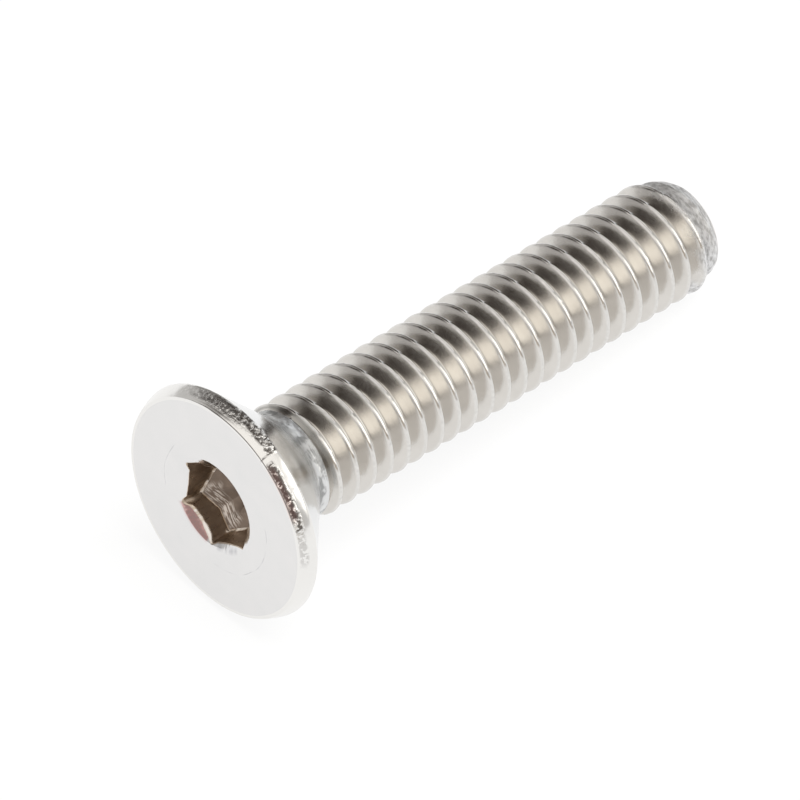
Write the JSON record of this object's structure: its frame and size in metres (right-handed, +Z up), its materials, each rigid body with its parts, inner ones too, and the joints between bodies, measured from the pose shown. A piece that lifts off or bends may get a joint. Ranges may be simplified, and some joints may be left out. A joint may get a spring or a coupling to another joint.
{
  "type": "countersunk socket screw",
  "caption": "Flat-faced countersunk screw with a hexagon socket and a right-hand metric thread along its whole shank, lying on its rim and thread.",
  "frame": {"origin": "on the surface that the screw lies on, under the middle of its box", "axes": "+X runs from the head towards the tip along the surface, +Z is up, and the screw's own axis drops about 6 degrees towards the tip"},
  "size_m": [0.02, 0.0076, 0.0077],
  "materials": {
    "screw": "bright, smooth where formed, rough round the rim"
  },
  "bodies": {
    "root": {"screw": "screw"}
  },
  "joints": []
}
